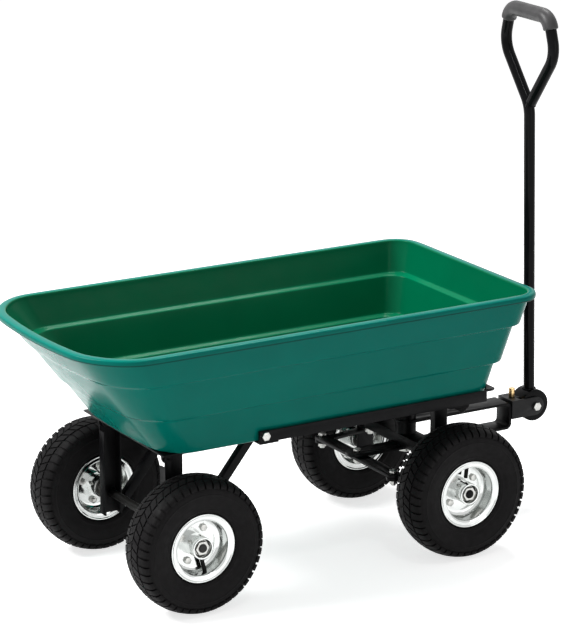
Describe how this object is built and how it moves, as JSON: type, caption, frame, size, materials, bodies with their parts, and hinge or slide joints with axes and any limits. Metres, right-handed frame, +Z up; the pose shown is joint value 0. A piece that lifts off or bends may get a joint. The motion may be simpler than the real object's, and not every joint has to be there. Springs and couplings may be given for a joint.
{
  "type": "tipping dump cart",
  "caption": "Moulded tipping tub on a black steel undercarriage with air tyres, linked steering, a rear tipping hinge and a folding pull handle with a hand loop.",
  "frame": {"origin": "on the ground, under the middle of the overall length and width, with the handle standing", "axes": "+X forwards to the handle, +Y to the cart's left, +Z up"},
  "size_m": [1.127, 0.497, 1.0041],
  "materials": {
    "tub_plastic": "satin moulded polyethylene, teal green",
    "black_steel": "black powder coat",
    "bright_steel": "bright zinc plate",
    "rim_zinc": "bright zinc-plated pressing",
    "yellow_zinc": "yellow zinc plate",
    "tyre_rubber": "matt black tyre rubber",
    "tube_rubber": "butyl rubber",
    "grip_rubber": "soft dark grey sleeve"
  },
  "bodies": {
    "chassis": {"side_rail_left": "black_steel", "side_rail_right": "black_steel", "rear_cross_member": "black_steel", "front_bolster": "black_steel", "front_cross_member": "black_steel", "rear_leg_left": "black_steel", "rear_leg_right": "black_steel", "rear_strut_left": "black_steel", "rear_strut_right": "black_steel", "rear_axle": "bright_steel", "rear_axle_fasteners": "bright_steel", "hinge_bolts": "black_steel", "front_post_left": "black_steel", "front_post_right": "black_steel", "front_axle_beam": "black_steel", "steering_column": "black_steel", "steering_bolt": "bright_steel", "kingpins": "bright_steel", "latch_bracket": "black_steel", "latch_bolt": "bright_steel", "frame_bolts": "bright_steel"},
    "tub": {"tub": "tub_plastic", "hinge_plate": "black_steel", "latch_striker": "black_steel", "tub_bolts": "bright_steel"},
    "latch": {"latch_lever": "black_steel", "latch_spring": "bright_steel"},
    "yoke": {"yoke": "black_steel", "handle_clevis": "black_steel", "handle_bolt": "bright_steel", "tie_bolt": "bright_steel"},
    "tie_bar": {"tie_bar": "black_steel"},
    "knuckle_left": {"knuckle_left": "black_steel", "front_fasteners_left": "bright_steel"},
    "knuckle_right": {"knuckle_right": "black_steel", "front_fasteners_right": "bright_steel"},
    "hitch_pin": {"hitch_pin": "yellow_zinc"},
    "handle": {"handle_tube": "black_steel", "handle_grip": "grip_rubber"},
    "wheel_rear_left": {"rear_left_tyre": "tyre_rubber", "rear_left_inner_tube": "tube_rubber", "rear_left_rim": "rim_zinc", "rear_left_bearings": "bright_steel", "rear_left_rim_bolts": "bright_steel"},
    "wheel_rear_right": {"rear_right_tyre": "tyre_rubber", "rear_right_inner_tube": "tube_rubber", "rear_right_rim": "rim_zinc", "rear_right_bearings": "bright_steel", "rear_right_rim_bolts": "bright_steel"},
    "wheel_front_left": {"front_left_tyre": "tyre_rubber", "front_left_inner_tube": "tube_rubber", "front_left_rim": "rim_zinc", "front_left_bearings": "bright_steel", "front_left_rim_bolts": "bright_steel"},
    "wheel_front_right": {"front_right_tyre": "tyre_rubber", "front_right_inner_tube": "tube_rubber", "front_right_rim": "rim_zinc", "front_right_bearings": "bright_steel", "front_right_rim_bolts": "bright_steel"}
  },
  "joints": [
    {"name": "tub_tip", "type": "hinge", "parent": "chassis", "child": "tub", "pos_m": [-0.3515, 0, 0.2752], "axis": [0, -1, 0], "range_deg": [0, 70]},
    {"name": "latch_open", "type": "hinge", "parent": "chassis", "child": "latch", "pos_m": [0.30513, 0, 0.244], "axis": [0, 1, 0], "range_deg": [0, 16], "stiffness_Nm_per_rad": 0.6, "springref_deg": -28.65},
    {"name": "steer", "type": "hinge", "parent": "chassis", "child": "yoke", "pos_m": [0.2405, 0, 0.19], "axis": [0, 0, 1], "range_deg": [-30, 30]},
    {"name": "steer_left", "type": "hinge", "parent": "chassis", "child": "knuckle_left", "pos_m": [0.2405, 0.13, 0.19], "axis": [0, 0, 1], "range_deg": [-30, 30]},
    {"name": "steer_right", "type": "hinge", "parent": "chassis", "child": "knuckle_right", "pos_m": [0.2405, -0.13, 0.19], "axis": [0, 0, 1], "range_deg": [-30, 30]},
    {"name": "tie_swing", "type": "hinge", "parent": "yoke", "child": "tie_bar", "pos_m": [0.1305, 0, 0.159], "axis": [0, 0, 1], "range_deg": [-30, 30]},
    {"name": "handle_fold", "type": "hinge", "parent": "yoke", "child": "handle", "pos_m": [0.5315, 0, 0.201], "axis": [0, 1, 0], "range_deg": [0, 100]},
    {"name": "hitch_pin_pull", "type": "slide", "parent": "yoke", "child": "hitch_pin", "axis": [0, 0, 1], "range_m": [0, 0.06]},
    {"name": "spin_rear_left", "type": "hinge", "parent": "chassis", "child": "wheel_rear_left", "pos_m": [-0.3355, 0.194, 0.129], "axis": [0, 1, 0], "continuous": true},
    {"name": "spin_rear_right", "type": "hinge", "parent": "chassis", "child": "wheel_rear_right", "pos_m": [-0.3355, -0.194, 0.129], "axis": [0, 1, 0], "continuous": true},
    {"name": "spin_front_left", "type": "hinge", "parent": "knuckle_left", "child": "wheel_front_left", "pos_m": [0.2405, 0.194, 0.129], "axis": [0, 1, 0], "continuous": true},
    {"name": "spin_front_right", "type": "hinge", "parent": "knuckle_right", "child": "wheel_front_right", "pos_m": [0.2405, -0.194, 0.129], "axis": [0, 1, 0], "continuous": true}
  ],
  "couplings": [
    {"joint": "steer_left", "follows": "steer", "ratio": 1},
    {"joint": "steer_right", "follows": "steer", "ratio": 1},
    {"joint": "tie_swing", "follows": "steer", "ratio": -1}
  ]
}
